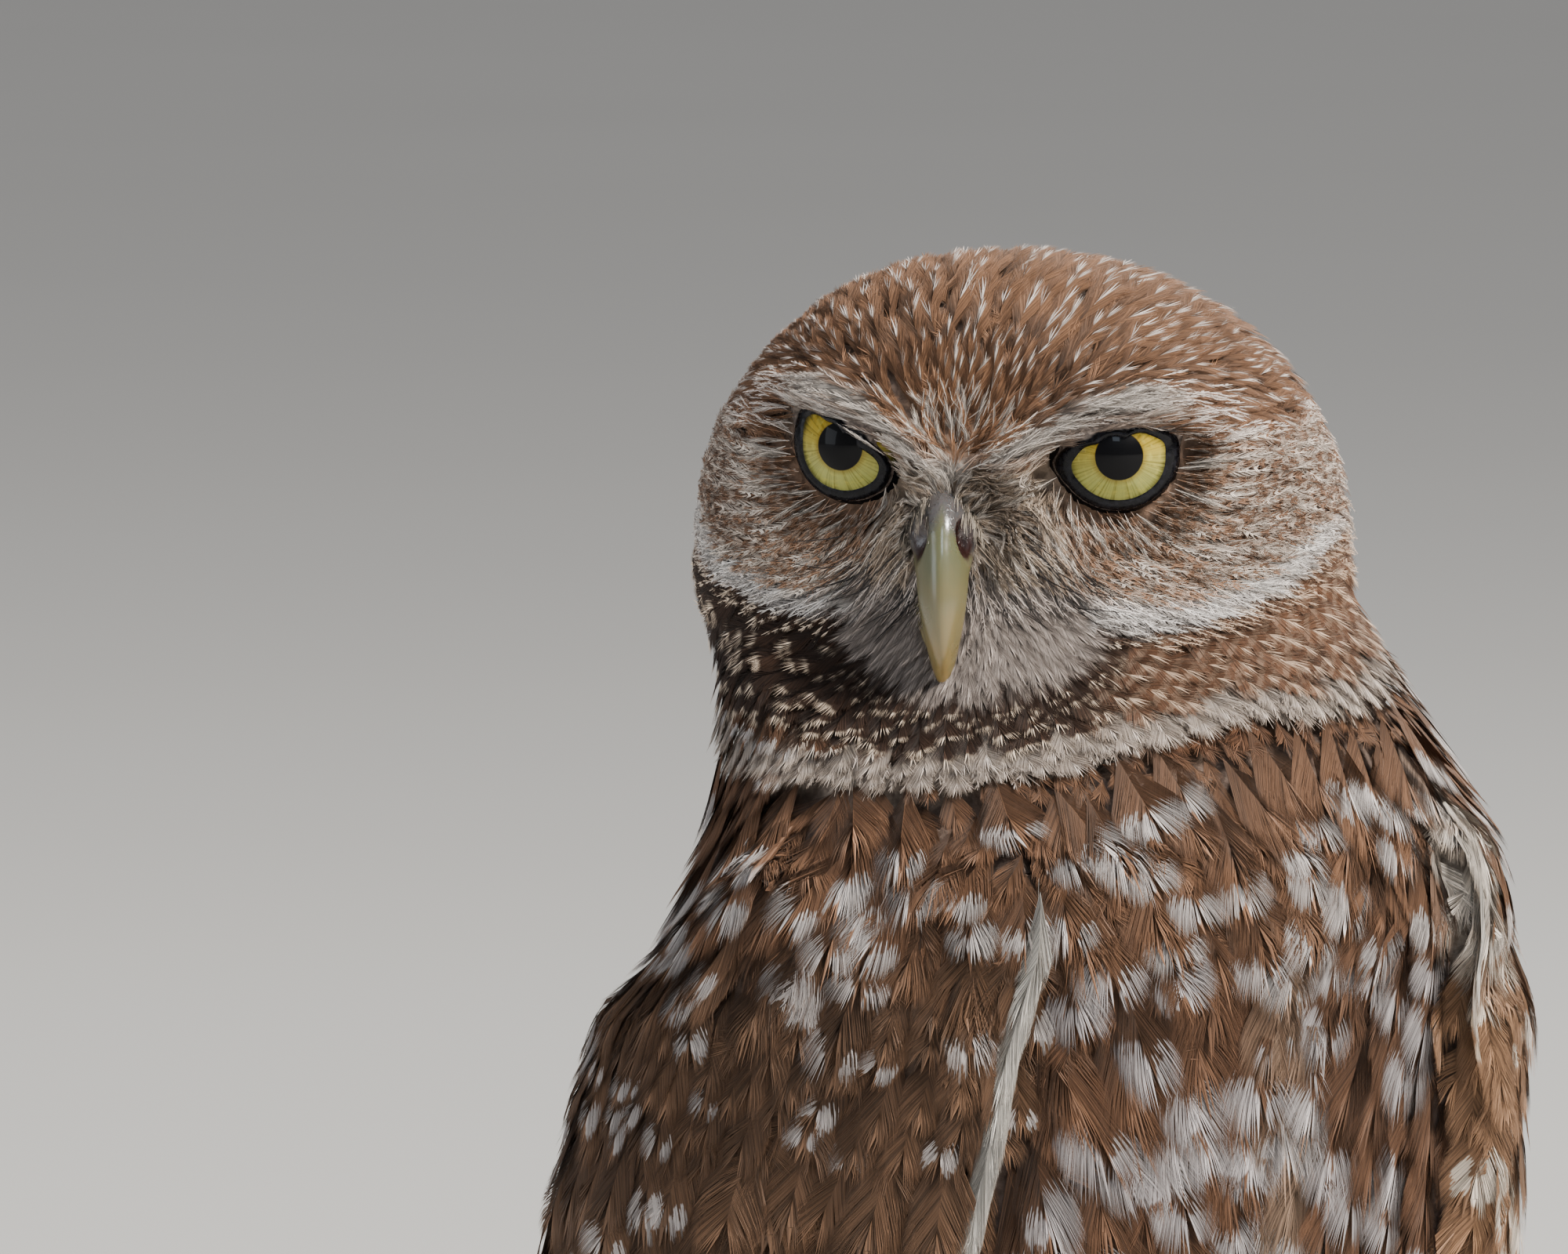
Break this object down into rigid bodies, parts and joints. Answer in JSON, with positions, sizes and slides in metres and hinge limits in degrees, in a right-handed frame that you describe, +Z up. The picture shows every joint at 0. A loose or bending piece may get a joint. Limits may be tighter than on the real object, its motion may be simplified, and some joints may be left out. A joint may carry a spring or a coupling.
{
  "type": "burrowing owl",
  "caption": "Life-size still model of a standing burrowing owl: rounded flat-faced head turned to one side, folded wings, short tail, long slender legs and clawed feet flat on the floor.",
  "frame": {"origin": "on the floor under the centre of the bounding box", "axes": "+Z up, -Y the way the breast faces, +X the owl's own left side"},
  "size_m": [0.0974, 0.096, 0.2215],
  "materials": {
    "head_plumage": "brown plumage with whitish brows, bristles and streaks",
    "neck_plumage": "brown and cream barred collar plumage",
    "breast_plumage": "brown plumage with large whitish spots, paler and barred on the belly",
    "wing_plumage": "dark brown plumage with whitish spots and barred flight feathers",
    "tail_plumage": "dark brown plumage with pale bars",
    "leg_plumage": "short buff-white plumage",
    "toe_skin": "scaly grey-brown skin",
    "claw": "smooth black horn",
    "bill": "smooth grey-green horn with a yellow-tan tip",
    "eye": "wet yellow iris with a black pupil"
  },
  "bodies": {
    "root": {"head": "head_plumage", "neck": "neck_plumage", "trunk": "breast_plumage", "eye_left": "eye", "eye_right": "eye", "bill_upper": "bill", "bill_lower": "bill", "wing_left": "wing_plumage", "wing_right": "wing_plumage", "wingtip_left": "wing_plumage", "wingtip_right": "wing_plumage", "tail": "tail_plumage", "thigh_left": "leg_plumage", "shank_left": "leg_plumage", "foot_left": "toe_skin", "claw_left_inner": "claw", "claw_left_middle": "claw", "claw_left_outer": "claw", "claw_left_hind": "claw", "thigh_right": "leg_plumage", "shank_right": "leg_plumage", "foot_right": "toe_skin", "claw_right_inner": "claw", "claw_right_middle": "claw", "claw_right_outer": "claw", "claw_right_hind": "claw"}
  },
  "joints": []
}
